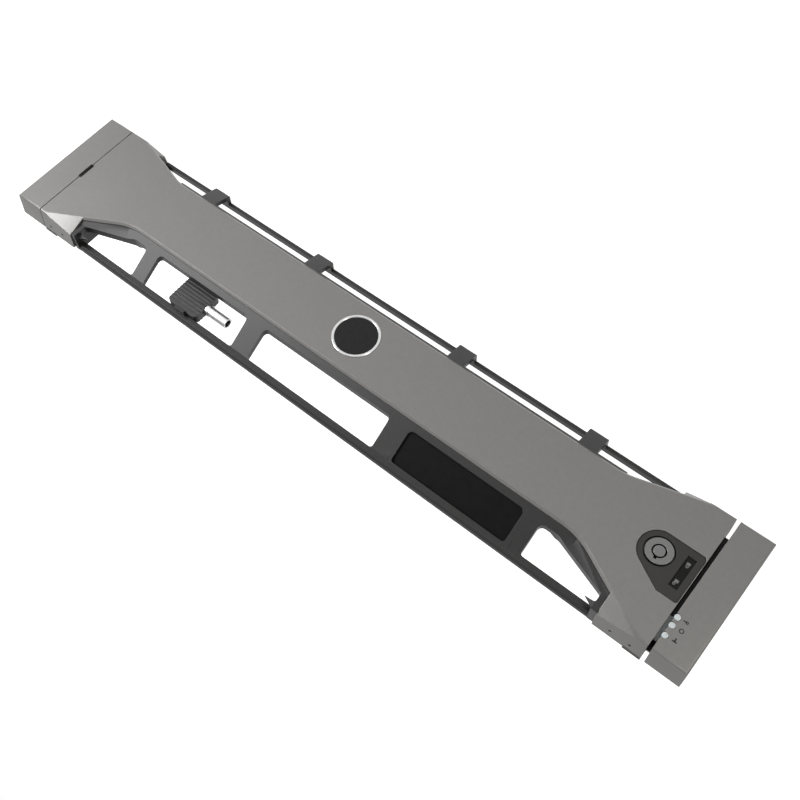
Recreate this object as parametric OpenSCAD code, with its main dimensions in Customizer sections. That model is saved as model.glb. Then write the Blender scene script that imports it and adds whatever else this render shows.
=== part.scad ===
// Front bezel for a 2U rack server: a painted bow-tie cover on a black window frame,
// a sprung release latch with a tubular lock at the left end, and hinge hooks at the right end.
// +X runs along the bezel to the right, +Y goes back into the rack, +Z is up.
// The origin is the centre of the footprint, on the surface that the bezel stands on.

/* [Overall] */
// Width over both end caps
bezel_w = 482.6; // [470:0.2:495]
// Height at the seating plane
bezel_h = 86; // [84.6:0.2:88]
// Height of the flat front at its ends, less than the full height by the slope of the sides
front_h = 82.4; // [80:0.2:84]
// Depth from the painted front to the seating plane
body_d = 18; // [17.4:0.2:20]
// Reach of the hooks behind the seating plane
hook_reach = 10; // [8:0.5:12]
// Radius of the long front edges
edge_r = 1.2; // [0.8:0.1:1.8]

/* [Painted cover] */
// Wall of the painted mouldings
cover_wall = 2.2; // [1.8:0.1:2.4]
// Thickness of the frame's rim behind the painted sides
rim_t = 1.5; // [1.2:0.1:1.8]
// Gap between a painted moulding and what it seats on
seat_gap = 0.1; // [0.05:0.05:0.2]
// Half height of the band above the middle of the bezel
band_up = 13.3; // [11:0.1:14.5]
// Half height of the band below the middle of the bezel
band_down = 27.6; // [25.5:0.1:28]
// Distance from the centre at which the band starts to flare
flare_x = 164; // [160:0.5:167]
// Distance from the centre at which the upper flare reaches full height
upper_flare_x = 217; // [212:0.5:218]
// Distance from the centre at which the lower flare reaches full height
lower_flare_x = 210; // [206:0.5:214]
// Radius where the band blends into the flares
flare_r = 42; // [20:1:50]
// Width of the bevel round the painted front
bevel = 1.3; // [0.8:0.1:1.6]
// Slope of the upper facets behind the flares, in degrees
upper_facet = 22; // [14:1:28]
// Slope of the lower facets behind the flares, in degrees
lower_facet = 50; // [42:1:56]
// Distance from the centre at which the painted ends stop
end_x = 192.6; // [191.5:0.1:194]
// Extra thickness of the rim close to the caps
rim_step = 1.2; // [0.4:0.1:1.6]
// Distance from the centre at which the rim becomes thicker
rim_step_x = 210; // [206:0.5:214]

/* [End caps] */
// Width of an end cap with its seam
cap_w = 21.3; // [20.5:0.1:22]
// Seam beside the release latch
latch_seam = 2.2; // [1.8:0.1:2.6]
// Seam beside the fixed cap
fixed_seam = 0.6; // [0.4:0.1:0.9]
// Height of the notch in the fixed seam
notch_h = 12; // [8:0.5:16]
// Radius of the outer vertical edges
corner_r = 1.6; // [0.8:0.1:2]

/* [Window frame] */
// Wall of the black moulding
frame_wall = 2.4; // [2:0.1:2.8]
// Height of the window sills above the middle of the bezel
sill_up = 18.4; // [17:0.1:20]
// Half width of the middle window
mid_window_x = 46.8; // [44:0.2:49]
// Width of a strut beside the middle window
mid_strut_w = 13.4; // [11:0.2:15]
// Distance from the centre to the inner side of an end window
end_window_x = 145.2; // [142:0.2:148]
// Width of a strut beside an end window
end_strut_w = 10.2; // [8:0.2:12]
// Distance from the centre to the outer side of an end window
end_window_out = 189; // [187.4:0.1:189.6]
// Thickness of the slanted grid
grid_t = 4.2; // [3.4:0.1:5]
// Depth of the rails, front to back
rail_d = 4; // [3:0.1:5]
// Height of the top rail
rail_h = 5; // [4:0.1:6]
// How far the top rail lies below the full height
rail_drop = 1.8; // [0.6:0.1:2.4]
// Thickness of the bottom rail
foot_rail_h = 2.4; // [2:0.1:3]
// Depth at which the bottom rail starts
foot_rail_y = 12.6; // [11.6:0.1:13.4]
// Width of the four bridge tabs
tab_w = 11.4; // [8:0.2:14]
// Depth at which a bridge tab touches the standing surface
tab_y = 6.6; // [5.6:0.1:8]
// How far the frame's lower lip hangs below the painted band
lip_drop = 3.2; // [2.4:0.1:4]
// Thickness of the stiffening ribs
rib_t = 1.8; // [1.4:0.1:2.4]
// Radius of the pin holes in the top sides near the ends
pin_hole_r = 0.9; // [0.6:0.1:1.2]

/* [Label and badge] */
// Depth of the label recess
label_recess = 1.6; // [1:0.1:2]
// Thickness of the label panel
label_t = 1.2; // [0.8:0.1:1.6]
// Outer radius of the badge ring
badge_r = 14.3; // [10:0.1:16]
// Width of the badge ring
badge_ring_w = 1.7; // [1:0.1:2.5]
// How far the badge ring stands proud of the front
badge_proud = 0.5; // [0.2:0.1:0.8]
// Depth of the badge seat in the cover
badge_seat = 0.9; // [0.6:0.1:1.2]

/* [Lock] */
// Distance of the lock from the left end
lock_from_end = 42; // [41:0.5:44]
// Drop of the lock below the middle of the bezel
lock_drop = 2.9; // [0:0.1:6]
// Radius of the round nose of the lock plate
nose_r = 11; // [10:0.1:12]
// Height of the straight side of the lock plate
plate_h = 28.6; // [26:0.2:31]
// Radius of the lock's face
face_r = 7.1; // [6.7:0.1:7.3]
// Radius of the lock's barrel
plug_r = 6; // [5.6:0.1:6.2]
// Radius of the lock's housing
housing_r = 8.2; // [7.8:0.1:8.4]
// Width of the black gap round the lock's face
ring_gap = 1; // [0.6:0.1:1.2]
// Running clearance of turning and swinging fits
run_gap = 0.06; // [0.04:0.01:0.09]
// Middle radius of the annular keyway
keyway_r = 3.4; // [3:0.1:3.8]
// Width of the annular keyway
keyway_w = 0.9; // [0.7:0.1:1.1]
// Depth of the keyway
keyway_d = 7; // [5:0.5:9]
// Thickness of the lock nut
nut_t = 3; // [2.4:0.1:3.6]
// Reach of the lock cam from the lock's axis
cam_reach = 20; // [14:0.5:21]
// Width of the lock cam
cam_w = 8; // [7.4:0.2:9]
// Thickness of the lock cam
cam_t = 1.8; // [1.4:0.1:2.2]

/* [Release latch] */
// Distance of the hinge pin from the left end
hinge_from_end = 5; // [4.8:0.1:5.4]
// Depth of the hinge pin behind the front
hinge_y = 13.6; // [13:0.1:14]
// Radius of the hinge pin
pin_r = 1; // [0.9:0.05:1.1]
// Outer radius of the hinge ears
ear_r = 2.2; // [2:0.05:2.3]
// Height of one hinge ear
ear_h = 4; // [3:0.2:5]
// Height between the two pairs of hinge ears
ear_pitch = 50; // [44:1:56]
// Gap between neighbouring ears
ear_gap = 0.3; // [0.2:0.05:0.5]
// Wire radius of the latch spring
wire_r = 0.35; // [0.25:0.05:0.4]
// Number of turns of the latch spring
spring_turns = 5; // [4:1:6]
// Height of the latch hook
hook_h = 12; // [10:0.5:14]

/* [Lamps] */
// Radius of the round lamp lenses
lens_r = 1.6; // [1.3:0.1:1.8]
// Distance of the lenses from the left end
lens_from_end = 17.8; // [17.6:0.1:18]
// Height of the lowest lens above the middle
lens_up = 20.5; // [19:0.5:21]
// Pitch from the lowest lens to the middle one
lens_pitch_low = 4.9; // [4.6:0.1:5.4]
// Pitch from the middle lens to the top one
lens_pitch_high = 6.2; // [5.4:0.1:6.4]

/* [Key] */
// Width of the key's head
key_head_w = 24; // [20:0.5:26]
// Height of the key's head
key_head_h = 21; // [18:0.5:22]
// Thickness of the key's head
key_head_t = 6; // [5:0.2:7]
// Length of the key's barrel outside the head
key_barrel_l = 16.5; // [12:0.5:18]
// Radius of the key's barrel
key_barrel_r = 3.7; // [3.5:0.1:3.8]

/* [Fastenings] */
// Radius of the cover bosses
boss_r = 2.8; // [2.4:0.1:3]
// Radius of the screws' shanks
screw_r = 1.1; // [0.9:0.1:1.2]
// Radius of the screws' heads
screw_head_r = 4.4; // [4:0.1:4.8]

/* [Hidden] */
$fn = 48;

big = 600;
eps = 0.01;
blend_steps = 6;
total_d = badge_proud + body_d + hook_reach;
face_y = badge_proud - total_d / 2;
seat_y = face_y + body_d;
back_y = seat_y + hook_reach;
cover_back_y = seat_y - rim_t - seat_gap;
mid = bezel_h / 2;
half_w = bezel_w / 2;
cover_x = half_w - cap_w;
band_top = mid + band_up;
band_bottom = mid - band_down;
inner_y = face_y + cover_wall + seat_gap;
plate_back_y = inner_y + frame_wall;

// Windows
sill_z = mid + sill_up;
rail_top_z = bezel_h - rail_drop;
rail_z = rail_top_z - rail_h;
rail_y = seat_y - rail_d;
side_window_in = mid_window_x + mid_strut_w;
side_window_out = end_window_x - end_strut_w;
mid_strut_x = mid_window_x + mid_strut_w / 2;
end_strut_x = end_window_x - end_strut_w / 2;
grid_z = band_top + bevel + seat_gap;
grid_y = face_y + bevel + seat_gap;
grid_run = (rail_y - grid_y) / (rail_z - grid_z);
lip_z = band_bottom - lip_drop;

// Lock
lock_x = -half_w + lock_from_end;
lock_z = mid - lock_drop;
plate_left = -cover_x + 0.6;
flange_t = 1.2;
flange_r = housing_r + 1;
nut_r = housing_r + 3.4;
housing_back_y = seat_y - 1.6;
cam_y = seat_y + 0.5;
drive_w = 5;

// Latch
hinge_x = -half_w + hinge_from_end;
pin_y = face_y + hinge_y;
latch_in_x = -cover_x - latch_seam;
lever_t = 2;
lens_x = -half_w + lens_from_end;
lens_z = [mid + lens_up, mid + lens_up + lens_pitch_low, mid + lens_up + lens_pitch_low + lens_pitch_high];

// Screws through the frame into the cover, as [x, z]
screw_places = [for (x = [-1, 1]) each [for (p = [[30, -8], [96, -8], [172, -8], [206, 24], [206, -24]])
    [x * p[0], mid + p[1]]]];
boss_back_y = plate_back_y + 2.3;

// Key, lying along X behind the window right of the middle
key_x = (side_window_in + side_window_out) / 2 + 3.4;
key_z = (sill_z + rail_z) / 2 - 1.8;
key_y = seat_y - key_head_t / 2 - 1;
key_bottom = key_z - key_head_h / 2;
key_front = key_y - key_head_t / 2;
clip_w = 8;

// ---------- outlines ----------

function unit(v) = v / norm(v);

// Outward normal of the edge from a to b of an anticlockwise outline
function edge_normal(a, b) = unit([b[1] - a[1], a[0] - b[0]]);

// Corner b of an anticlockwise outline after both its edges move outwards by d
function moved_corner(a, b, c, d) =
    let (m = edge_normal(a, b), n = edge_normal(b, c))
    b + d * (m + n) / (1 + m * n);

function grown(pts, d) =
    let (n = len(pts))
    [for (i = [0 : n - 1]) moved_corner(pts[(i + n - 1) % n], pts[i], pts[(i + 1) % n], d)];

function turn(a, b, c) = (b[0] - a[0]) * (c[1] - b[1]) - (b[1] - a[1]) * (c[0] - b[0]);

// Arc of radius r in the corner b, in the given number of steps
function corner_arc(a, b, c, r, steps) =
    let (u = unit(a - b), v = unit(c - b), half = acos(u * v) / 2, back = r / tan(half),
         centre = b + unit(u + v) * r / sin(half), s = b + u * back - centre,
         sweep = (180 - 2 * half) * sign(turn(a, b, c)))
    [for (k = [0 : steps]) let (t = sweep * k / steps)
        centre + [s[0] * cos(t) - s[1] * sin(t), s[0] * sin(t) + s[1] * cos(t)]];

// Outline with each corner rounded by its own radius; a radius of 0 keeps the corner sharp
function rounded(pts, radii, steps = 5) =
    let (n = len(pts))
    [for (i = [0 : n - 1])
        each radii[i] > 0
            ? corner_arc(pts[(i + n - 1) % n], pts[i], pts[(i + 1) % n], radii[i], steps)
            : [pts[i]]];

// Outline of the free space beyond one long edge of the front, seen with that edge below, drawn inwards by d
function edge_space(band, flare, d) =
    let (h = front_h / 2, far = h + 12, x = flare_x + (flare - flare_x) * (far - band) / (h - band))
    grown(rounded([[-flare_x, band], [flare_x, band], [x, far], [-x, far]], [flare_r, flare_r, 0, 0], blend_steps), -d);

// Side view of the painted ends, as [depth, height], drawn inwards by t
function side_outline(t, back) =
    let (h = front_h / 2, r = max(edge_r - t, 0.2), rise = (mid - h) / body_d, y = face_y + t,
         run = back - face_y)
    rounded([[y, mid - h + t], [back, mid - h - rise * run + t], [back, mid + h + rise * run - t],
             [y, mid + h - t]], [r, 0, 0, r], 4);

function window_outline(x0, x1) =
    rounded([[x0, sill_z], [x1, sill_z], [x1, rail_z], [x0, rail_z]], [3, 3, 1.6, 1.6]);

function end_window_outline(d = 0) =
    rounded(grown([[end_window_x, sill_z + 0.8], [end_window_x + 11, sill_z + 0.8],
                   [end_window_out, rail_z - 4.6], [end_window_out, rail_z], [end_window_x, rail_z]], d),
            [3, 10, 2.4, 1.2, 1.6]);

// ---------- shared shapes ----------

// Solid of a [depth, height] outline, drawn along X
module along_x(x0, x1, pts) {
    translate([x0, 0, 0]) rotate([90, 0, 90]) linear_extrude(x1 - x0) polygon(pts);
}

// Solid of a front view outline, drawn along Y
module along_y(y0, y1, pts) {
    translate([0, y1, 0]) rotate([90, 0, 0]) linear_extrude(y1 - y0) polygon(pts);
}

module block(x0, x1, y0, y1, z0, z1) {
    translate([x0, y0, z0]) cube([x1 - x0, y1 - y0, z1 - z0]);
}

module rod_y(r, x, z, y0, y1) {
    translate([x, y1, z]) rotate([90, 0, 0]) cylinder(r = r, h = y1 - y0);
}

// Angle at which a flare rises from the band
function flare_rise(band, flare) = atan((front_h / 2 - band) / (flare - flare_x));

// Solid of a [depth, distance outside the flare line] outline, drawn along the right upper flare
module along_flare(band, flare, pts) {
    translate([flare_x, 0, band]) rotate([0, -flare_rise(band, flare), 0]) along_x(-big, big, pts);
}

// Solid between two convex front view outlines with as many points each, at their own depths
module frustum_y(y0, y1, front, back) {
    n = len(front);
    polyhedron(
        points = concat([for (p = front) [p[0], y0, p[1]]], [for (p = back) [p[0], y1, p[1]]]),
        faces = concat([[for (i = [n - 1 : -1 : 0]) i]], [[for (i = [0 : n - 1]) n + i]],
                       [for (i = [0 : n - 1]) [i, (i + 1) % n, n + (i + 1) % n, n + i]]));
}

// Free space above the upper edge and below the lower edge of the front, drawn inwards by d from y0 to y1
module both_spaces(y0, y1, d) {
    translate([0, 0, mid]) {
        along_y(y0, y1, edge_space(band_up, upper_flare_x, d));
        mirror([0, 0, 1]) along_y(y0, y1, edge_space(band_down, lower_flare_x, d));
    }
}

// Everything in front of a facet that starts at the flare line and slopes back
module facet_cut(band, flare, slope, inset) {
    s = tan(slope);
    y = face_y + inset / cos(slope);
    along_flare(band, flare, [[y - s, -1], [y - 60, -1], [y - 60, 60], [y + 60 * s, 60]]);
}

// Form of the right painted end, drawn inwards by t, from x0 to x1
module end_form(x0, x1, t, back) {
    difference() {
        along_x(x0, x1, side_outline(t, back));
        translate([0, 0, mid]) facet_cut(band_up, upper_flare_x, upper_facet, t);
        translate([0, 0, mid]) mirror([0, 0, 1]) facet_cut(band_down, lower_flare_x, lower_facet, t);
    }
}

module both_ends() {
    children();
    mirror([1, 0, 0]) children();
}

// Form of the right cap drawn inwards by t, with round outer edges
module cap_form(x0, t, back) {
    r = max(corner_r - t, 0.2);
    intersection() {
        along_x(x0, half_w - t, side_outline(t, back));
        translate([0, 0, -1]) linear_extrude(bezel_h + 2)
            polygon(rounded([[x0, face_y + t - eps], [half_w - t, face_y + t - eps], [half_w - t, back + eps],
                             [x0, back + eps]], [0, r, 0, 0]));
    }
}

// D-shaped outline of the lock plate, grown outwards by d, with its upper edge tangent to the nose
function plate_outline(d) =
    let (r = nose_r + d, up = plate_h * 0.63 + d, down = nose_r - 0.3 + d, x0 = plate_left - d, a = 60,
         nose = asin(down / r))
    concat([[x0, lock_z - down + 2], [x0 + 1.2, lock_z - down]],
           [for (t = [-nose : (a + nose) / 12 : a]) [lock_x + r * cos(t), lock_z + r * sin(t)]],
           [[lock_x + (r - up * sin(a)) / cos(a), lock_z + up], [x0 + 1, lock_z + up], [x0, lock_z + up - 1]]);

// ---------- painted mouldings ----------

// Bevelled plate of the band and both flares
module front_plate() {
    y1 = face_y + cover_wall;
    difference() {
        block(-cover_x, cover_x, face_y, y1, 0, bezel_h);
        for (m = [0, 1]) translate([0, 0, mid]) mirror([0, 0, m]) {
            band = m == 0 ? band_up : band_down;
            flare = m == 0 ? upper_flare_x : lower_flare_x;
            frustum_y(face_y - 0.5, face_y + bevel, edge_space(band, flare, -0.5), edge_space(band, flare, bevel));
        }
        both_spaces(face_y + bevel - 0.2, y1 + 1, bevel);
    }
}

module front_cover() {
    color([0.53, 0.53, 0.52])
    difference() {
        union() {
            intersection() {
                front_plate();
                along_x(-cover_x, cover_x, side_outline(0, cover_back_y));
            }
            both_ends() difference() {
                end_form(end_x, cover_x, 0, cover_back_y);
                end_form(end_x - 1, cover_x + 1, cover_wall, cover_back_y + 1);
            }
            for (p = screw_places)
                rod_y(boss_r, p[0], p[1], face_y + cover_wall - 0.2, boss_back_y);
        }
        for (p = screw_places)
            rod_y(screw_r + 0.05, p[0], p[1], face_y + cover_wall - 0.4, boss_back_y + 1);
        rod_y(badge_r + seat_gap, 0, (band_top + band_bottom) / 2 - 1, face_y - 1, face_y + badge_seat);
        along_y(face_y - 1, face_y + 4, plate_outline(0.25));
        block(cover_x - 1.2, cover_x + 1, face_y - 1, seat_y, mid + 1 - notch_h / 2, mid + 1 + notch_h / 2);
        both_ends() {
            block(rim_step_x - seat_gap, cover_x + 1, cover_back_y - rim_step, seat_y, -1, bezel_h + 1);
            for (x = [end_x + 9.4, cover_x - 7])
                translate([x, face_y + 11, bezel_h - 3.4]) cylinder(r = pin_hole_r, h = 6);
        }
    }
}

module right_end_cap() {
    x0 = cover_x + fixed_seam;
    color([0.55, 0.55, 0.54])
    difference() {
        cap_form(x0, 0, cover_back_y);
        cap_form(x0 - 1, cover_wall, cover_back_y + 1);
        block(x0 - 1, x0 + 1, face_y - 1, seat_y, mid + 1 - notch_h / 2, mid + 1 + notch_h / 2);
    }
}

module latch_cap() {
    color([0.62, 0.61, 0.59])
    difference() {
        mirror([1, 0, 0]) cap_form(-latch_in_x, 0, cover_back_y);
        mirror([1, 0, 0]) cap_form(-latch_in_x - 1, cover_wall, cover_back_y + 1);
        for (z = lens_z) {
            rod_y(lens_r + 0.25, lens_x, z, face_y - 1, face_y + 4);
            block(lens_x, lens_x + 4, face_y - 1, face_y + 4, z - lens_r - 0.25, z + lens_r + 0.25);
        }
    }
}

// ---------- black frame ----------

// Upright middle section of the frame as [depth, height]: slanted grid and top rail
function grid_section() =
    [[grid_y, grid_z], [plate_back_y + 1, grid_z], [grid_y + grid_t + grid_run * 3, grid_z + 3],
     [seat_y - 0.6, rail_z], [seat_y, rail_z], [seat_y, rail_top_z - 0.6], [seat_y - 0.6, rail_top_z],
     [rail_y + 1.4, rail_top_z - 0.3], [rail_y, rail_top_z - 1.6], [rail_y, rail_z]];

// Lower lip of the frame under the painted band
function lip_section() =
    [[grid_y, band_bottom - bevel - seat_gap], [grid_y + 1.2, lip_z], [grid_y + 4, lip_z],
     [plate_back_y, lip_z + 2.4], [plate_back_y, band_bottom + 2], [inner_y, band_bottom + 2],
     [inner_y, band_bottom - bevel - seat_gap]];

// One bridge tab from the lip down and back to the bottom rail
function tab_section() =
    [[grid_y + 0.6, band_bottom - bevel - 0.8], [face_y + tab_y - 1, 1.2], [face_y + tab_y, 0],
     [face_y + foot_rail_y + 1, 0], [face_y + foot_rail_y + 1, foot_rail_h],
     [face_y + tab_y + 2.6, foot_rail_h], [face_y + tab_y + 1.6, foot_rail_h + 1],
     [grid_y + 4, lip_z], [grid_y + 4, band_bottom - bevel - 0.8]];

// Rim beside the slanted side of an end window, parallel to the painted flare
module flare_rim() {
    slope = 27;
    rise = atan((front_h / 2 - band_up) / (upper_flare_x - flare_x));
    intersection() {
        along_y(face_y, seat_y, [[flare_x - 14, grid_z - 3], [end_x, grid_z - 3], [end_x, rail_top_z - 0.6],
                                 [flare_x - 14, rail_top_z - 0.6]]);
        translate([flare_x, face_y + bevel + seat_gap, mid + band_up]) rotate([0, -rise, 0])
            rotate([-slope, 0, 0]) block(-big / 2, big / 2, 0, grid_t, bevel, 13);
    }
}

// Rim of the frame that follows the painted sides at the rear
module end_rim(x0, x1, y0) {
    outline = side_outline(0, seat_y);
    intersection() {
        along_x(x0, x1, outline);
        block(x0 - 1, x1 + 1, y0, seat_y, -1, bezel_h + 1);
    }
}

// Hollow end of the frame inside the painted end
module frame_end() {
    t = cover_wall + seat_gap;
    difference() {
        union() {
            difference() {
                end_form(end_window_out, cover_x - 0.2, t, seat_y);
                end_form(end_x - 1, cover_x - 0.2 - frame_wall, t + frame_wall, seat_y + 1);
            }
            // rim behind the painted sides
            end_rim(rim_step_x, cover_x, cover_back_y + seat_gap - rim_step);
        }
        block(end_window_out + frame_wall + 1, cover_x - 4.4, plate_back_y, seat_y + 1, 6, bezel_h - 6);
    }
}

module hinge_hook(z) {
    x1 = half_w - cover_wall - 0.6;
    along_z_plan = [[x1 - 7, seat_y - 2], [x1 - 3, seat_y - 2], [x1 - 3, back_y - 3.2], [x1, back_y - 3.2],
                    [x1, back_y - 1.4], [x1 - 1.6, back_y], [x1 - 5, back_y], [x1 - 7, back_y - 2]];
    translate([0, 0, z - hook_h / 2]) linear_extrude(hook_h) polygon(along_z_plan);
}

// One hinge ear with its leg, at height z
module frame_ear(z) {
    translate([hinge_x, pin_y, z]) cylinder(r = ear_r, h = ear_h);
    block(hinge_x - 0.4, hinge_x + 8, pin_y - 0.6, seat_y - 0.2, z, z + ear_h);
}

module inner_frame() {
    ear_z = mid - ear_pitch / 2 - ear_h - ear_gap / 2;
    t = cover_wall + seat_gap;
    color([0.22, 0.22, 0.22])
    difference() {
        union() {
            // plate behind the painted front
            difference() {
                block(-end_x + seat_gap, end_x - seat_gap, inner_y, plate_back_y, 1, bezel_h - 1);
                both_spaces(face_y, seat_y, bevel - 0.2);
            }
            along_x(-flare_x, flare_x, grid_section());
            along_x(-end_x, end_x, [[rail_y, rail_z], [seat_y, rail_z], [seat_y, rail_top_z - 0.6],
                    [seat_y - 0.6, rail_top_z], [rail_y + 1.4, rail_top_z - 0.3], [rail_y, rail_top_z - 1.6]]);
            along_x(-flare_x, flare_x, lip_section());
            both_ends() {
                flare_rim();
                frame_end();
                block(end_window_out, end_x - seat_gap, face_y + 3.6, seat_y, sill_z + 13, rail_top_z);
                for (x = [mid_strut_x, end_strut_x])
                    along_x(x - tab_w / 2, x + tab_w / 2, tab_section());
                // stiffening ribs behind the struts and along the band
                for (x = [mid_strut_x, end_strut_x])
                    block(x - rib_t / 2, x + rib_t / 2, plate_back_y - eps, seat_y - 5, band_bottom, grid_z + 3);
            }
            block(-end_x, end_x, face_y + foot_rail_y, face_y + foot_rail_y + rail_d, 0.2, foot_rail_h);
            for (z = [band_bottom + 5, band_top - 6])
                block(-end_x, end_x, plate_back_y - eps, seat_y - 8, z - rib_t / 2, z + rib_t / 2);
            // backing of the label recess
            along_x(-side_window_out - 3, -side_window_in + 3,
                    [[grid_y + 3, grid_z + 2], [grid_y + 7, grid_z + 2], [rail_y + 3.4, rail_z + 1],
                     [rail_y, rail_z + 1]]);
            // arm under the fixed cap, with the hinge hooks
            block(cover_x - 4, half_w - cover_wall - seat_gap, seat_y - 3.4, seat_y, 6, bezel_h - 6);
            for (z = [mid - 24, mid + 24]) hinge_hook(z);
            // arm under the latch, with its ears
            block(hinge_x - 0.4, -cover_x + 4, pin_y + ear_r + 0.3, seat_y, 6, bezel_h - 6);
            for (s = [0, 1])
                translate([0, 0, s * (ear_pitch + ear_h + ear_gap)]) frame_ear(ear_z);
            // lock boss and screw collars
            rod_y(housing_r + 3, lock_x, lock_z, plate_back_y - eps, plate_back_y + 1.4);
            for (p = screw_places)
                rod_y(boss_r + 2, p[0], p[1], plate_back_y - eps, boss_back_y - seat_gap);
            // clips that hold the key by its head: a shelf with a lip below, a hook on the rail above
            block(key_x - clip_w / 2, key_x + clip_w / 2, plate_back_y - eps, seat_y,
                  key_bottom - seat_gap - 2, key_bottom - seat_gap);
            block(key_x - clip_w / 2, key_x + clip_w / 2, seat_y - 0.9, seat_y, key_bottom - 1, key_bottom + 1.4);
            block(key_x - clip_w / 2, key_x + clip_w / 2, key_front - 1.2, rail_y + 0.5,
                  key_bottom + key_head_h + 0.4, rail_z + 1.6);
            block(key_x - clip_w / 2, key_x + clip_w / 2, key_front - 1.2, key_front - seat_gap,
                  key_bottom + key_head_h - 1.2, key_bottom + key_head_h + 1);
        }
        // windows
        along_y(face_y - 1, seat_y + 1, window_outline(-mid_window_x, mid_window_x));
        along_y(face_y - 1, seat_y + 1, window_outline(side_window_in, side_window_out));
        both_ends() along_y(face_y - 1, seat_y + 1, end_window_outline());
        // label recess
        intersection() {
            along_y(face_y - 1, seat_y, window_outline(-side_window_out, -side_window_in));
            along_x(-side_window_out, -side_window_in,
                    [[face_y - 1, grid_z], [grid_y + label_recess + label_t, grid_z],
                     [rail_y + label_recess + label_t, rail_z], [rail_y + label_recess + label_t, rail_z + 1],
                     [face_y - 1, rail_z + 1]]);
        }
        // room for the painted front and its bosses
        difference() {
            block(-cover_x - 1, cover_x + 1, face_y - 1, inner_y, 0, bezel_h);
            both_spaces(face_y - 2, seat_y, bevel + seat_gap);
        }
        for (p = screw_places)
            rod_y(boss_r + seat_gap, p[0], p[1], face_y, seat_y);
        // lock bore with the seat of its flange
        rod_y(housing_r + run_gap, lock_x, lock_z, face_y, seat_y);
        rod_y(flange_r + seat_gap, lock_x, lock_z, face_y, inner_y + flange_t + 0.05);
        // room for the lock nut
        rod_y(nut_r + 0.6, lock_x, lock_z, plate_back_y + 1.4, seat_y + 1);
        // hinge pin bore
        translate([hinge_x, pin_y, 0]) cylinder(r = pin_r, h = bezel_h);
        // way through for the latch hook
        block(hinge_x - 2, hinge_x + 7.6, seat_y - 6, seat_y + 1, mid - hook_h / 2 - 1, mid + hook_h / 2 + 1);
        // notch beside the fixed seam
        block(cover_x - 1.2, cover_x + fixed_seam + 1, face_y, seat_y + 1,
              mid + 1 - notch_h / 2, mid + 1 + notch_h / 2);
    }
}

module label_panel() {
    gap = 0.15;
    y0 = grid_y + label_recess;
    color([0.13, 0.13, 0.13])
    intersection() {
        along_y(face_y, seat_y, window_outline(-side_window_out + gap, -side_window_in - gap));
        along_x(-side_window_out, -side_window_in,
                [[y0 + grid_run * (sill_z + gap - grid_z), sill_z + gap],
                 [y0 + label_t + grid_run * (sill_z + gap - grid_z), sill_z + gap],
                 [y0 + label_t + grid_run * (rail_z - gap - grid_z), rail_z - gap],
                 [y0 + grid_run * (rail_z - gap - grid_z), rail_z - gap]]);
    }
}

// ---------- badge ----------

badge_z = (band_top + band_bottom) / 2 - 1;

module badge_ring() {
    color([0.78, 0.78, 0.8])
    translate([0, face_y + badge_seat, badge_z]) rotate([90, 0, 0]) rotate_extrude($fn = 96)
        polygon([[badge_r - badge_ring_w, 0], [badge_r, 0], [badge_r, badge_seat + badge_proud * 0.4],
                 [badge_r - 0.4, badge_seat + badge_proud],
                 [badge_r - badge_ring_w + 0.4, badge_seat + badge_proud],
                 [badge_r - badge_ring_w, badge_seat + badge_proud * 0.3]]);
}

module badge_disc() {
    r = badge_r - badge_ring_w - 0.05;
    color([0.12, 0.12, 0.12])
    translate([0, face_y + badge_seat, badge_z]) rotate([90, 0, 0]) rotate_extrude($fn = 96)
        polygon(concat([[0, 0], [r, 0]],
                       [for (k = [0 : 4]) let (x = r * (1 - k / 4))
                           [x, badge_seat - 0.1 + 0.35 * (1 - pow(x / r, 2))]]));
}

// ---------- lock ----------

module lock_plate() {
    color([0.3, 0.3, 0.3])
    difference() {
        along_y(face_y + 0.4, inner_y, plate_outline(0));
        rod_y(face_r + ring_gap, lock_x, lock_z, face_y - 1, inner_y + 1);
        block(plate_left + 3.2, plate_left + 8, face_y - 1, face_y + 1.4, lock_z - 6.8, lock_z + 12);
    }
}

module lock_icon_strip() {
    color([0.1, 0.1, 0.1])
        block(plate_left + 3.25, plate_left + 7.95, face_y + 0.9, face_y + 1.4, lock_z - 6.75, lock_z + 11.95);
}

module lock_housing() {
    color([0.1, 0.1, 0.1])
    difference() {
        union() {
            rod_y(flange_r, lock_x, lock_z, inner_y, inner_y + flange_t);
            rod_y(housing_r, lock_x, lock_z, inner_y + flange_t - eps, housing_back_y);
        }
        rod_y(plug_r + run_gap, lock_x, lock_z, face_y, seat_y);
    }
}

module lock_nut() {
    y0 = plate_back_y + 1.4;
    color([0.7, 0.7, 0.72])
    difference() {
        translate([lock_x, y0 + nut_t, lock_z]) rotate([90, 30, 0]) cylinder(r = nut_r, h = nut_t, $fn = 6);
        rod_y(housing_r, lock_x, lock_z, y0 - 1, y0 + nut_t + 1);
    }
}

// The keyway is an annular groove with one notch in its outer wall
module lock_plug() {
    color([0.45, 0.45, 0.45])
    difference() {
        union() {
            rod_y(face_r, lock_x, lock_z, face_y + 0.1, inner_y - 0.1);
            rod_y(plug_r, lock_x, lock_z, inner_y - 0.1 - eps, housing_back_y + 0.4);
            block(lock_x - drive_w / 2, lock_x + drive_w / 2, housing_back_y, cam_y + cam_t,
                  lock_z - drive_w / 2, lock_z + drive_w / 2);
        }
        difference() {
            rod_y(keyway_r + keyway_w / 2, lock_x, lock_z, face_y - 1, face_y + keyway_d);
            rod_y(keyway_r - keyway_w / 2, lock_x, lock_z, face_y - 2, face_y + keyway_d + 1);
        }
        block(lock_x - 0.8, lock_x + 0.8, face_y - 1, face_y + keyway_d, lock_z + keyway_r, lock_z + keyway_r + 1.4);
        rod_y(screw_r + 0.05, lock_x, lock_z, cam_y - 6, cam_y + cam_t + 1);
    }
}

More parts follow.
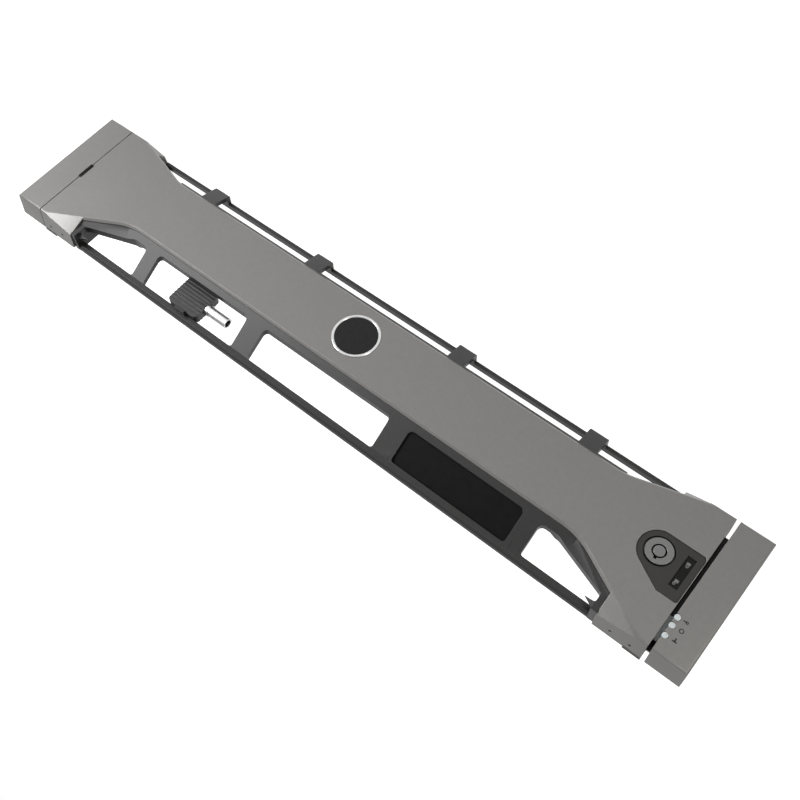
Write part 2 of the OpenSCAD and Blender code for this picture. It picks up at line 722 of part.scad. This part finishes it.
module lock_cam() {
    color([0.72, 0.72, 0.74])
    difference() {
        along_y(cam_y, cam_y + cam_t,
                rounded([[lock_x - cam_w / 2, lock_z - cam_reach], [lock_x + cam_w / 2, lock_z - cam_reach],
                         [lock_x + cam_w / 2, lock_z + cam_w / 2], [lock_x - cam_w / 2, lock_z + cam_w / 2]],
                        [2, 2, 3.4, 3.4]));
        block(lock_x - drive_w / 2, lock_x + drive_w / 2, cam_y - 1, cam_y + cam_t + 1,
              lock_z - drive_w / 2, lock_z + drive_w / 2);
    }
}

module cam_screw() {
    y0 = cam_y + cam_t;
    color([0.75, 0.75, 0.77])
    difference() {
        union() {
            rod_y(screw_r, lock_x, lock_z, y0 - 5, y0 + eps);
            rod_y(3.4, lock_x, lock_z, y0, y0 + 1.6);
        }
        block(lock_x - 2.2, lock_x + 2.2, y0 + 0.9, y0 + 2, lock_z - 0.4, lock_z + 0.4);
        block(lock_x - 0.4, lock_x + 0.4, y0 + 0.9, y0 + 2, lock_z - 2.2, lock_z + 2.2);
    }
}

// ---------- release latch ----------

module latch_lever() {
    x0 = -half_w + cover_wall;
    ear_z = mid - ear_pitch / 2;
    color([0.2, 0.2, 0.2])
    difference() {
        union() {
            block(x0 + 0.3, lens_x - lens_r - 0.7, inner_y, inner_y + lever_t, 8, bezel_h - 8);
            for (z = [ear_z, mid + ear_pitch / 2 - ear_h]) {
                translate([hinge_x, pin_y, z]) cylinder(r = ear_r, h = ear_h);
                block(hinge_x - ear_r, hinge_x + ear_r, face_y + cover_wall + 1, pin_y, z, z + ear_h);
            }
            // hook that grips the rack ear
            translate([0, 0, mid - hook_h / 2]) linear_extrude(hook_h)
                polygon([[hinge_x - ear_r, face_y + cover_wall + 1], [hinge_x + ear_r, face_y + cover_wall + 1],
                         [hinge_x + ear_r, back_y - 2], [hinge_x, back_y], [hinge_x - 1, back_y],
                         [hinge_x - ear_r, back_y - 2], [hinge_x - ear_r, back_y - 3.6],
                         [hinge_x - 0.6, back_y - 3.6], [hinge_x - 0.6, pin_y + 3], [hinge_x - ear_r, pin_y + 1.4]]);
        }
        translate([hinge_x, pin_y, 0]) cylinder(r = pin_r + run_gap, h = bezel_h);
    }
}

module latch_pin() {
    z0 = mid - ear_pitch / 2 - ear_h - ear_gap / 2;
    color([0.75, 0.75, 0.77])
        translate([hinge_x, pin_y, z0]) cylinder(r = pin_r, h = ear_pitch + 2 * ear_h + ear_gap);
}

// Torsion spring round the hinge pin: a swept wire with one leg on the lever and one on the frame
module latch_spring() {
    coil_r = pin_r + run_gap + wire_r + 0.25;
    pitch = 2 * wire_r + 0.15;
    z0 = mid - ear_pitch / 2 + ear_h + 1.5;
    steps = 14;
    n = spring_turns * steps;
    sides = 8;
    path = concat(
        [[hinge_x + coil_r, inner_y + lever_t + wire_r, z0]],
        [for (i = [0 : n]) let (t = 360 * i / steps)
            [hinge_x + coil_r * cos(t), pin_y + coil_r * sin(t), z0 + pitch * i / steps]],
        [[hinge_x + coil_r, pin_y + ear_r + 0.3 - wire_r, z0 + pitch * spring_turns + 0.01]]);
    m = len(path);
    rings = [for (i = [0 : m - 1])
        let (d = unit(path[min(i + 1, m - 1)] - path[max(i - 1, 0)]), s = unit(cross([0, 0, 1], d)), u = cross(d, s))
        [for (k = [0 : sides - 1]) path[i] + wire_r * (cos(360 * k / sides) * s + sin(360 * k / sides) * u)]];
    color([0.75, 0.75, 0.77])
    polyhedron(
        points = [for (r = rings) each r],
        faces = concat([[for (k = [0 : sides - 1]) k]],
                       [[for (k = [sides - 1 : -1 : 0]) (m - 1) * sides + k]],
                       [for (i = [0 : m - 2]) for (k = [0 : sides - 1])
                           [i * sides + k, (i + 1) * sides + k, (i + 1) * sides + (k + 1) % sides,
                            i * sides + (k + 1) % sides]]));
}

// Clear moulding: three lenses on one bar that is fixed to the frame's left end wall
module light_pipe() {
    y_bar = face_y + 7;
    color([0.9, 0.92, 0.93])
    union() {
        for (z = lens_z) rod_y(lens_r, lens_x, z, face_y, y_bar + 1);
        block(lens_x - lens_r, -cover_x + 0.2, y_bar, y_bar + 3, lens_z[0] - lens_r, lens_z[2] + lens_r);
    }
}

// ---------- fastenings and key ----------

module cover_screws() {
    color([0.75, 0.75, 0.77])
    for (p = screw_places) {
        rod_y(screw_r, p[0], p[1], face_y + cover_wall, boss_back_y + eps);
        difference() {
            rod_y(screw_head_r, p[0], p[1], boss_back_y, boss_back_y + 1.6);
            block(p[0] - 2, p[0] + 2, boss_back_y + 0.9, boss_back_y + 2, p[1] - 0.4, p[1] + 0.4);
            block(p[0] - 0.4, p[0] + 0.4, boss_back_y + 0.9, boss_back_y + 2, p[1] - 2, p[1] + 2);
        }
    }
}

module key_head() {
    color([0.15, 0.15, 0.15])
    difference() {
        along_y(key_y - key_head_t / 2, key_y + key_head_t / 2,
                rounded([[key_x - key_head_w / 2, key_z - key_head_h / 2], [key_x + key_head_w / 2, key_z - key_head_h / 2],
                         [key_x + key_head_w / 2, key_z + key_head_h / 2], [key_x - key_head_w / 2, key_z + key_head_h / 2]],
                        [3, 3, 3, 3]));
        translate([key_x - key_head_w / 2 - 1, key_y, key_z]) rotate([0, 90, 0])
            cylinder(r = key_barrel_r - 1.2, h = 8);
        for (s = [-1, 1]) for (k = [-3 : 3])
            translate([key_x - key_head_w / 2 - 1, key_y + s * key_head_t / 2, key_z + k * 2.4])
                rotate([0, 90, 0]) cylinder(r = 0.45, h = key_head_w + 2, $fn = 16);
    }
}

module key_barrel() {
    x1 = key_x - key_head_w / 2;
    color([0.72, 0.72, 0.74])
    difference() {
        union() {
            translate([x1 - key_barrel_l, key_y, key_z]) rotate([0, 90, 0]) cylinder(r = key_barrel_r - 0.4, h = key_barrel_l);
            translate([x1 - 2.4, key_y, key_z]) rotate([0, 90, 0]) cylinder(r = key_barrel_r, h = 2.4);
            translate([x1 - eps, key_y, key_z]) rotate([0, 90, 0]) cylinder(r = key_barrel_r - 1.2, h = 7);
        }
        translate([x1 - key_barrel_l - 1, key_y, key_z]) rotate([0, 90, 0]) cylinder(r = key_barrel_r - 1.3, h = 8);
    }
}

front_cover();
inner_frame();
right_end_cap();
latch_cap();
latch_lever();
latch_pin();
latch_spring();
lock_plate();
lock_icon_strip();
lock_housing();
lock_plug();
lock_nut();
lock_cam();
cam_screw();
badge_ring();
badge_disc();
label_panel();
light_pipe();
cover_screws();
key_head();
key_barrel();
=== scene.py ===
import math

import bmesh
import bpy
import numpy as np
from mathutils import Matrix, Vector


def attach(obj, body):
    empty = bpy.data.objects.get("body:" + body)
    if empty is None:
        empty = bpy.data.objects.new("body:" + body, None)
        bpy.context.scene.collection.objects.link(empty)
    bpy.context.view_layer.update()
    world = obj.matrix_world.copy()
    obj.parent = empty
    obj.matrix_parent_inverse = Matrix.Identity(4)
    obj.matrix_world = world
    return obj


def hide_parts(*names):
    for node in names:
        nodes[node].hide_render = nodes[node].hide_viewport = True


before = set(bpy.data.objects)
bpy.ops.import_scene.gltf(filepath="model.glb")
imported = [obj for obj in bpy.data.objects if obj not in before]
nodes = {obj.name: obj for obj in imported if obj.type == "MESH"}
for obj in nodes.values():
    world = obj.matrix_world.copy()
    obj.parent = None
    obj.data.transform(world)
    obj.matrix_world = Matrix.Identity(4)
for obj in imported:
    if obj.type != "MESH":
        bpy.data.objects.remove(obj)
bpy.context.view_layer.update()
print("frame loaded:", len(nodes), "nodes")

# Camera: a little beyond the left end, above the top, turned over

camera = {
    "place": (-0.23317, -0.51533, 0.26678),
    "lookAt": (-0.00069, -0.01375, 0.05596),
    "roll": -136.005,
    "lens": 47.525,
    "sensor": 36,
    "shift": (0.0839, -0.0481),
    "clip": (0.01, 50),
}


# Camera aimed along ahead: its side and up are mixed by the cosine and sine of the roll
def makeCamera(spec):
    data = bpy.data.cameras.new("camera")
    data.lens, data.sensor_width = spec["lens"], spec["sensor"]
    data.shift_x, data.shift_y = spec["shift"]
    data.clip_start, data.clip_end = spec["clip"]
    ob = bpy.data.objects.new("camera", data)
    bpy.context.scene.collection.objects.link(ob)
    place = Vector(spec["place"])
    ahead = (Vector(spec["lookAt"]) - place).normalized()
    side = ahead.cross(Vector((0, 0, 1))).normalized()
    up = side.cross(ahead)
    turn = math.radians(spec["roll"])
    x = side * math.cos(turn) + up * math.sin(turn)
    y = up * math.cos(turn) - side * math.sin(turn)
    ob.matrix_world = Matrix((x, y, -ahead)).transposed().to_4x4()
    ob.matrix_world.translation = place
    bpy.context.scene.camera = ob


makeCamera(camera)

# Shader helpers


# A node with its settings, then each input linked to a socket or set to a value
def addNode(tree, kind, inputs=None, **settings):
    node = tree.nodes.new(kind)
    for name, value in settings.items():
        setattr(node, name, value)
    for name, value in (inputs or {}).items():
        socket = node.inputs[name]
        if isinstance(value, bpy.types.NodeSocket):
            tree.links.new(value, socket)
        else:
            socket.default_value = value
    return node


# A node group with numbers as its inputs and named outputs
def newGroup(name, inputs, outputs):
    group = bpy.data.node_groups.new(name, "ShaderNodeTree")
    for label in inputs:
        group.interface.new_socket(label, in_out="INPUT", socket_type="NodeSocketFloat")
    for label, kind in outputs:
        group.interface.new_socket(label, in_out="OUTPUT", socket_type="NodeSocket" + kind)
    return group, group.nodes.new("NodeGroupInput").outputs, group.nodes.new("NodeGroupOutput").inputs


# One operation on a and b, held between 0 and 1 where clamp is set
def mathNode(tree, operation, a, b=0.0, clamp=False):
    return addNode(tree, "ShaderNodeMath", {0: a, 1: b}, operation=operation, use_clamp=clamp).outputs[0]


# The outputs of a group used as a node
def useGroup(tree, group, inputs):
    return addNode(tree, "ShaderNodeGroup", inputs, node_tree=group).outputs


wornGain = 5.0  # how fast a turned normal reads as worn
wornFrom, wornTo = 0.42, 0.62  # part of the noise that lets wear through
skinFrom, skinTo = 0.3, 0.7  # part of the skin's noise that is spread over a finish's range
patchScale = 250.0  # patches of wear in a metre
wearSpan = 1.4  # wear reaches over this many edge radii
dustAndShadeReach = 0.003  # dust and painted shade gather where something stands this near, in metres
driftScale = 9.0  # slow changes of colour in a metre
coatIor = 1.47
wearSamples, skinSamples, dustAndShadeSamples = 4, 6, 6


# Worn edges: 1 less the dot product of the rounded normal and the surface's own, times wornGain, times
# patches of noise
def makeEdgeWear():
    group, given, out = newGroup("edgeWear", ["Radius", "Patches"], [("Mask", "Float")])
    rounded = addNode(group, "ShaderNodeBevel", {"Radius": given["Radius"]}, samples=wearSamples)
    surface = addNode(group, "ShaderNodeNewGeometry")
    dot = addNode(group, "ShaderNodeVectorMath", {0: rounded.outputs[0], 1: surface.outputs["Normal"]},
                  operation="DOT_PRODUCT").outputs["Value"]
    turned = mathNode(group, "MULTIPLY", mathNode(group, "SUBTRACT", 1.0, dot), wornGain, True)
    where = addNode(group, "ShaderNodeTexCoord").outputs["Object"]
    patches = addNode(group, "ShaderNodeTexNoise",
                      {"Vector": where, "Scale": given["Patches"], "Detail": 3.0})
    broken = addNode(group, "ShaderNodeMapRange",
                     {"Value": patches.outputs["Fac"], "From Min": wornFrom, "From Max": wornTo})
    group.links.new(mathNode(group, "MULTIPLY", turned, broken.outputs[0], True), out["Mask"])
    return group


# Moulded or painted skin: fine and wide noise mixed by the wave share, as the height of a bump on the
# rounded normal
def makeSkin():
    group, given, out = newGroup("mouldedSkin", ["Grain", "Wave", "Wave Share", "Depth", "Edge Radius"],
                                 [("Value", "Float"), ("Normal", "Vector")])
    where = addNode(group, "ShaderNodeTexCoord").outputs["Object"]
    fine = addNode(group, "ShaderNodeTexNoise", {"Vector": where, "Detail": 2.0,
                                                 "Scale": mathNode(group, "DIVIDE", 1.0, given["Grain"])})
    wide = addNode(group, "ShaderNodeTexNoise", {"Vector": where, "Detail": 1.0,
                                                 "Scale": mathNode(group, "DIVIDE", 1.0, given["Wave"])})
    both = addNode(group, "ShaderNodeMix", {"Factor": given["Wave Share"], "A": fine.outputs["Fac"],
                                            "B": wide.outputs["Fac"]}, data_type="FLOAT").outputs[0]
    rounded = addNode(group, "ShaderNodeBevel", {"Radius": given["Edge Radius"]}, samples=skinSamples)
    bump = addNode(group, "ShaderNodeBump", {"Height": both, "Distance": given["Depth"], "Strength": 1.0,
                                             "Normal": rounded.outputs[0]})
    group.links.new(both, out["Value"])
    group.links.new(bump.outputs[0], out["Normal"])
    return group


# Dust and shade in corners and grooves: 1 less the share of open space within reach
def makeCorners():
    group, given, out = newGroup("cornerDustAndShade", ["Reach"], [("Mask", "Float")])
    near = addNode(group, "ShaderNodeAmbientOcclusion", {"Distance": given["Reach"]}, samples=dustAndShadeSamples)
    group.links.new(mathNode(group, "SUBTRACT", 1.0, near.outputs["AO"], True), out["Mask"])
    return group


edgeWear, mouldedSkin, cornerDustAndShade = makeEdgeWear(), makeSkin(), makeCorners()


# Colour a where factor is 0, b where it is 1
def mixColour(tree, factor, a, b):
    mix = addNode(tree, "ShaderNodeMix", {"Factor": factor, "A": a, "B": b}, data_type="RGBA")
    return mix.outputs["Result"]


# A colour with full cover
def rgba(values):
    return (*values, 1.0)


# The skin's noise spread over the range from low to high
def spread(tree, noise, low, high):
    ends = {"Value": noise, "From Min": skinFrom, "From Max": skinTo, "To Min": low, "To Max": high}
    return addNode(tree, "ShaderNodeMapRange", ends).outputs[0]


# One finish: the colour drifts slowly by vary and with the grain by speck, is mixed with a darker colour
# for dust and painted shade in corners and the wear's on edges, and takes its roughness and bump from the
# skin
def makeFinish(name, spec):
    material = bpy.data.materials.new(name)
    material.use_nodes = True
    tree = material.node_tree
    tree.nodes.clear()
    skin = useGroup(tree, mouldedSkin, {"Grain": spec["grain"], "Wave": spec["wave"],
                                        "Wave Share": spec["waveShare"], "Depth": spec["depth"],
                                        "Edge Radius": spec["edge"]})
    worn = useGroup(tree, edgeWear, {"Radius": spec["edge"] * wearSpan, "Patches": patchScale})
    dustAndShadeMask = useGroup(tree, cornerDustAndShade, {"Reach": dustAndShadeReach})
    where = addNode(tree, "ShaderNodeTexCoord").outputs["Object"]
    drift = addNode(tree, "ShaderNodeTexNoise", {"Vector": where, "Scale": driftScale, "Detail": 2.0})
    base, dark = np.array(spec["colour"]), np.array(spec["colour"]) * (1 - spec["vary"])
    colour = mixColour(tree, drift.outputs["Fac"], rgba(base * (1 + spec["vary"])), rgba(dark))
    speck = spread(tree, skin["Value"], 1 - spec["speck"], 1 + spec["speck"])
    colour = addNode(tree, "ShaderNodeVectorMath", {0: colour, "Scale": speck},
                     operation="SCALE").outputs["Vector"]
    # corners and grooves darkened: partly dust, partly painted shade
    dustAndShade = mathNode(tree, "MULTIPLY", dustAndShadeMask["Mask"], spec["dustAndShade"])
    colour = mixColour(tree, dustAndShade, colour, rgba(spec["dustAndShadeColour"]))
    wear = mathNode(tree, "MULTIPLY", worn["Mask"], spec["wear"])
    colour = mixColour(tree, wear, colour, rgba(spec["wearColour"]))
    rough = spread(tree, skin["Value"], *spec["rough"])
    shader = addNode(tree, "ShaderNodeBsdfPrincipled",
                     {"Base Color": colour, "Roughness": rough, "Normal": skin["Normal"],
                      "Metallic": spec.get("metal", 0.0), "IOR": coatIor})
    for label, value in spec.get("plain", {}).items():
        shader.inputs[label].default_value = value
    addNode(tree, "ShaderNodeOutputMaterial", {"Surface": shader.outputs[0]})
    material.diffuse_color = rgba(base)
    return material


finishes = {
    # vary and speck: share by which the colour changes; grain, wave, depth and edge: sizes in metres
    # the corner entries: how strongly corners darken with dust and painted shade, and to which colour
    "silverPaint": {"colour": (0.148, 0.146, 0.141), "vary": 0.03, "speck": 0.05,
                    "rough": (0.3, 0.4), "metal": 0.35,
                    "grain": 0.00025, "wave": 0.0016, "waveShare": 0.5, "depth": 0.000012, "edge": 0.0004,
                    "dustAndShade": 0.35, "dustAndShadeColour": (0.10, 0.098, 0.095),
                    "wear": 0.35, "wearColour": (0.5, 0.49, 0.47)},
    "blackPlastic": {"colour": (0.018, 0.018, 0.018), "vary": 0.12, "speck": 0.25,
                     "rough": (0.3, 0.42),
                     "grain": 0.00035, "wave": 0.0012, "waveShare": 0.25, "depth": 0.00003, "edge": 0.0003,
                     "dustAndShade": 0.3, "dustAndShadeColour": (0.006, 0.006, 0.006),
                     "wear": 0.4, "wearColour": (0.06, 0.06, 0.058),
                     "plain": {"Specular IOR Level": 0.3}},
    "platePlastic": {"colour": (0.035, 0.035, 0.034), "vary": 0.08, "speck": 0.12,
                     "rough": (0.45, 0.6),
                     "grain": 0.0003, "wave": 0.001, "waveShare": 0.3, "depth": 0.00002, "edge": 0.0003,
                     "dustAndShade": 0.5, "dustAndShadeColour": (0.008, 0.008, 0.008),
                     "wear": 0.4, "wearColour": (0.10, 0.10, 0.097),
                     "plain": {"Specular IOR Level": 0.15}},
    "iconFilm": {"colour": (0.012, 0.012, 0.012), "vary": 0.1, "speck": 0.05,
                 "rough": (0.2, 0.3),
                 "grain": 0.0004, "wave": 0.002, "waveShare": 0.6, "depth": 0.000004, "edge": 0.0002,
                 "dustAndShade": 0.2, "dustAndShadeColour": (0.01, 0.01, 0.01),
                 "wear": 0.1, "wearColour": (0.03, 0.03, 0.03),
                 "plain": {"Specular IOR Level": 0.05}},
    "labelFilm": {"colour": (0.006, 0.006, 0.0063), "vary": 0.12, "speck": 0.1,
                  "rough": (0.3, 0.42),
                  "grain": 0.0005, "wave": 0.004, "waveShare": 0.6, "depth": 0.000006, "edge": 0.0003,
                  "dustAndShade": 0.2, "dustAndShadeColour": (0.01, 0.01, 0.01),
                  "wear": 0.1, "wearColour": (0.03, 0.03, 0.03),
                  "plain": {"Specular IOR Level": 0.06}},
    "brightSteel": {"colour": (0.48, 0.48, 0.485), "vary": 0.05, "speck": 0.08,
                    "rough": (0.22, 0.38), "metal": 1.0,
                    "grain": 0.0002, "wave": 0.001, "waveShare": 0.4, "depth": 0.000006, "edge": 0.0002,
                    "dustAndShade": 0.5, "dustAndShadeColour": (0.12, 0.12, 0.12),
                    "wear": 0.3, "wearColour": (0.8, 0.8, 0.8)},
    "lockMetal": {"colour": (0.13, 0.13, 0.13), "vary": 0.06, "speck": 0.1,
                  "rough": (0.3, 0.45), "metal": 0.7,
                  "grain": 0.0002, "wave": 0.001, "waveShare": 0.4, "depth": 0.000006, "edge": 0.0003,
                  "dustAndShade": 0.6, "dustAndShadeColour": (0.02, 0.02, 0.02),
                  "wear": 0.5, "wearColour": (0.5, 0.5, 0.49)},
    "badgeTrim": {"colour": (0.45, 0.45, 0.455), "vary": 0.04, "speck": 0.05,
                  "rough": (0.16, 0.26), "metal": 0.9,
                  "grain": 0.0003, "wave": 0.002, "waveShare": 0.5, "depth": 0.000004, "edge": 0.0003,
                  "dustAndShade": 0.4, "dustAndShadeColour": (0.15, 0.15, 0.15),
                  "wear": 0.3, "wearColour": (0.85, 0.85, 0.85)},
    "badgeFace": {"colour": (0.012, 0.012, 0.012), "vary": 0.1, "speck": 0.1,
                  "rough": (0.25, 0.35),
                  "grain": 0.0004, "wave": 0.003, "waveShare": 0.6, "depth": 0.000005, "edge": 0.0003,
                  "dustAndShade": 0.4, "dustAndShadeColour": (0.006, 0.006, 0.006),
                  "wear": 0.2, "wearColour": (0.04, 0.04, 0.04),
                  "plain": {"Specular IOR Level": 0.12}},
    "keyPlastic": {"colour": (0.016, 0.016, 0.0165), "vary": 0.1, "speck": 0.2,
                   "rough": (0.4, 0.55),
                   "grain": 0.0003, "wave": 0.001, "waveShare": 0.3, "depth": 0.00002, "edge": 0.0004,
                   "dustAndShade": 0.4, "dustAndShadeColour": (0.008, 0.008, 0.008),
                   "wear": 0.5, "wearColour": (0.10, 0.10, 0.10)},
    "frostedLens": {"colour": (0.78, 0.79, 0.78), "vary": 0.03, "speck": 0.03,
                    "rough": (0.25, 0.35),
                    "grain": 0.0003, "wave": 0.001, "waveShare": 0.5, "depth": 0.000004, "edge": 0.0003,
                    "dustAndShade": 0.3, "dustAndShadeColour": (0.4, 0.4, 0.39),
                    "wear": 0.1, "wearColour": (0.9, 0.9, 0.9),
                    "plain": {"Transmission Weight": 0.25, "Subsurface Weight": 0.2}},
}
made = {name: makeFinish(name, spec) for name, spec in finishes.items()}
print("finishes made:", len(made))

# Pieces made from the frame's solids, merged and shaded smooth

merging = {"apart": 2e-6, "flat": math.radians(0.5), "sharp": math.radians(32)}


# A finish as the mesh's only material
def setFinish(mesh, finish):
    mesh.materials.clear()
    mesh.materials.append(made[finish])


# A copy of a solid's mesh: points closer than apart are one, faces within flat become one, and edges
# that turn by more than sharp stay sharp
def smoothShell(name, node, finish, slot, body):
    mesh = nodes[node].data.copy()
    mesh.name = name
    work = bmesh.new()
    work.from_mesh(mesh)
    bmesh.ops.remove_doubles(work, verts=work.verts, dist=merging["apart"])
    bmesh.ops.dissolve_limit(work, angle_limit=merging["flat"], verts=work.verts, edges=work.edges)
    work.to_mesh(mesh)
    work.free()
    if "custom_normal" in mesh.attributes:
        mesh.attributes.remove(mesh.attributes["custom_normal"])
    setFinish(mesh, finish)
    mesh.shade_smooth()
    mesh.set_sharp_from_angle(angle=merging["sharp"])
    ob = bpy.data.objects.new(name, mesh)
    bpy.context.scene.collection.objects.link(ob)
    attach(ob, body)
    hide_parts(node)


shells = [
    # name, node, finish, slot, body
    ("frontCover", "front_cover", "silverPaint", "painted_plastic", "frame"),
    ("windowFrame", "inner_frame", "blackPlastic", "black_plastic", "frame"),
    ("rightEndCap", "right_end_cap", "silverPaint", "painted_plastic", "frame"),
    ("latchCap", "latch_cap", "silverPaint", "painted_plastic", "latch"),
    ("latchLever", "latch_lever", "blackPlastic", "black_plastic", "latch"),
    ("lockPlate", "lock_plate", "platePlastic", "plate_plastic", "frame"),
    ("lockHousing", "lock_housing", "blackPlastic", "black_plastic", "frame"),
    ("lockFace", "lock_plug", "lockMetal", "lock_metal", "lock"),
    ("labelPanel", "label_panel", "labelFilm", "label_film", "frame"),
    ("badgeRing", "badge_ring", "badgeTrim", "badge_trim", "frame"),
    ("badgeDisc", "badge_disc", "badgeFace", "badge_face", "frame"),
    ("keyHead", "key_head", "keyPlastic", "key_plastic", "frame"),
    ("keyBarrel", "key_barrel", "brightSteel", "bright_steel", "frame"),
    ("lampLenses", "light_pipe", "frostedLens", "clear_plastic", "frame"),
    ("iconStrip", "lock_icon_strip", "iconFilm", "icon_film", "frame"),
]
for shell in shells:
    smoothShell(*shell)
for node in ("latch_pin", "latch_spring", "lock_nut", "lock_cam", "cam_screw", "cover_screws"):
    setFinish(nodes[node].data, "brightSteel")
print("shells placed:", len(shells))

# Plain printed marks beside the lamps and on the lock's strip, in metres

printing = {"thick": 0.00004, "line": 0.0005, "ringPoints": 32}
prints = {
    "lampMarks": {
        "finish": "blackPlastic", "slot": "black_plastic", "body": "latch", "front": -0.01375,
        "shapes": [
            # kind, x, z, half width, half height
            ("ring", -0.2284, 0.0682, 0.0013, 0.0013),
            ("bar", -0.2284, 0.0746, 0.0013, 0.0003),
            ("bar", -0.2284, 0.0738, 0.0004, 0.0011),
            ("ring", -0.2284, 0.0631, 0.0008, 0.0008),
            ("bar", -0.2272, 0.0631, 0.0009, 0.0003),
        ]},
    "stripMarks": {
        "finish": "lockMetal", "slot": "lock_metal", "body": "frame", "front": -0.01285,
        "shapes": [
            ("bar", -0.2138, 0.0370, 0.0010, 0.0008),
            ("ring", -0.2138, 0.0384, 0.0008, 0.0009),
            ("bar", -0.2138, 0.0480, 0.0010, 0.0008),
            ("ring", -0.2132, 0.0496, 0.0008, 0.0009),
        ]},
}


# Outlines of one mark: a bar is one rectangle, a ring is two ellipses, the inner one a line's width smaller
def markOutlines(kind, x, z, halfWidth, halfHeight):
    if kind == "bar":
        corners = np.array([(-1, -1), (1, -1), (1, 1), (-1, 1)])
        return np.array([(x, z) + corners * (halfWidth, halfHeight)])
    turn = np.linspace(0, 2 * math.pi, printing["ringPoints"], endpoint=False)
    circle = np.stack([np.cos(turn), np.sin(turn)], 1)
    insets = (0.0, printing["line"])
    return np.array([(x, z) + circle * (halfWidth - inset, halfHeight - inset) for inset in insets])


# Quads between two loops of points, from each point to the next one round
def joinLoops(first, second):
    return np.stack([np.roll(first, -1), first, second, np.roll(second, -1)], 1)


# Faces of a mark whose loops are its front outlines and then its back ones: walls join front to back,
# and the ends are filled where there is one outline or joined across where there are two
def markFaces(loops):
    if len(loops) == 2:
        front, back = loops
        return [front.tolist(), back[::-1].tolist()] + joinLoops(front, back).tolist()
    outerFront, innerFront, outerBack, innerBack = loops
    quads = [joinLoops(innerFront, outerFront)[:, [2, 3, 0, 1]], joinLoops(outerBack, innerBack),
             joinLoops(outerFront, outerBack), joinLoops(innerBack, innerFront)[:, [2, 3, 0, 1]]]
    return np.stack(quads, 1).reshape(-1, 4).tolist()


# Marks as thin prisms, their outlines half a thickness before and half a thickness behind front
def printMarks(name, spec):
    points, faces = [], []
    for shape in spec["shapes"]:
        outlines = markOutlines(*shape)
        flat = outlines.reshape(-1, 2)
        loops = np.arange(2 * len(flat)).reshape(-1, outlines.shape[1])
        faces += markFaces(len(points) + loops)
        for depth in (-printing["thick"] / 2, printing["thick"] / 2):
            level = np.full(len(flat), spec["front"] + depth)
            points += np.stack([flat[:, 0], level, flat[:, 1]], 1).tolist()
    mesh = bpy.data.meshes.new(name)
    mesh.from_pydata(points, [], faces)
    setFinish(mesh, spec["finish"])
    ob = bpy.data.objects.new(name, mesh)
    bpy.context.scene.collection.objects.link(ob)
    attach(ob, spec["body"])


for name, spec in prints.items():
    printMarks(name, spec)
print("printed marks made")

# Floor, backdrop and light

room = {"floorDrop": 0.0006, "floorSize": 8.0, "floorColour": (0.80, 0.80, 0.80), "floorLift": 0.97,
        "ambient": 0.2, "lamps": [
            # name, place, aim, size, power, colour
            ("keyLamp", (0.62, -0.62, 0.42), (0, 0, 0.04), 0.5, 9.0, (1.0, 1.0, 1.0)),
            ("fillLamp", (-0.62, -0.75, 0.02), (-0.15, 0, 0.04), 0.45, 4.2, (1.0, 0.93, 0.86)),
            ("topLamp", (0.1, 0.5, 1.5), (0, 0, 0.05), 1.4, 3.0, (1.0, 1.0, 1.0))]}


# 1 where the camera, a reflection or a clear part sees the surface, 0 where it lights the object
def seenBy(tree):
    path = addNode(tree, "ShaderNodeLightPath").outputs
    shiny = mathNode(tree, "MAXIMUM", path["Is Glossy Ray"], path["Is Transmission Ray"])
    return mathNode(tree, "MAXIMUM", path["Is Camera Ray"], shiny)


# The floor is matt and gives off floorLift where it is seen; the backdrop is white where it is seen and
# gives off ambient otherwise; each lamp is a square turned to its aim
def makeRoom(spec):
    half = spec["floorSize"] / 2
    mesh = bpy.data.meshes.new("floor")
    corners = np.array([(-half, -half), (half, -half), (half, half), (-half, half)])
    mesh.from_pydata([(x, y, -spec["floorDrop"]) for x, y in corners], [], [(0, 1, 2, 3)])
    floor = bpy.data.objects.new("floor", mesh)
    bpy.context.scene.collection.objects.link(floor)
    material = bpy.data.materials.new("paleFloor")
    material.use_nodes = True
    tree = material.node_tree
    tree.nodes.clear()
    matt = addNode(tree, "ShaderNodeBsdfDiffuse", {"Color": rgba(spec["floorColour"])})
    seen = mathNode(tree, "MULTIPLY", seenBy(tree), spec["floorLift"])
    lift = addNode(tree, "ShaderNodeEmission", {"Color": (1, 1, 1, 1), "Strength": seen})
    both = addNode(tree, "ShaderNodeAddShader", {0: matt.outputs[0], 1: lift.outputs[0]})
    addNode(tree, "ShaderNodeOutputMaterial", {"Surface": both.outputs[0]})
    mesh.materials.append(material)

    world = bpy.data.worlds.new("studio")
    bpy.context.scene.world = world
    world.use_nodes = True
    tree = world.node_tree
    tree.nodes.clear()
    strength = addNode(tree, "ShaderNodeMix", {"Factor": seenBy(tree), "A": spec["ambient"], "B": 1.0},
                       data_type="FLOAT").outputs[0]
    sky = addNode(tree, "ShaderNodeBackground", {"Color": (1, 1, 1, 1), "Strength": strength})
    addNode(tree, "ShaderNodeOutputWorld", {"Surface": sky.outputs[0]})

    for name, place, aim, size, power, colour in spec["lamps"]:
        data = bpy.data.lights.new(name, "AREA")
        data.size, data.energy, data.color = size, power, colour
        lamp = bpy.data.objects.new(name, data)
        bpy.context.scene.collection.objects.link(lamp)
        lamp.location = place
        lamp.rotation_euler = (Vector(aim) - Vector(place)).to_track_quat("-Z", "Y").to_euler()


makeRoom(room)
bpy.context.scene.view_settings.view_transform = "Standard"
print("room and lamps placed")
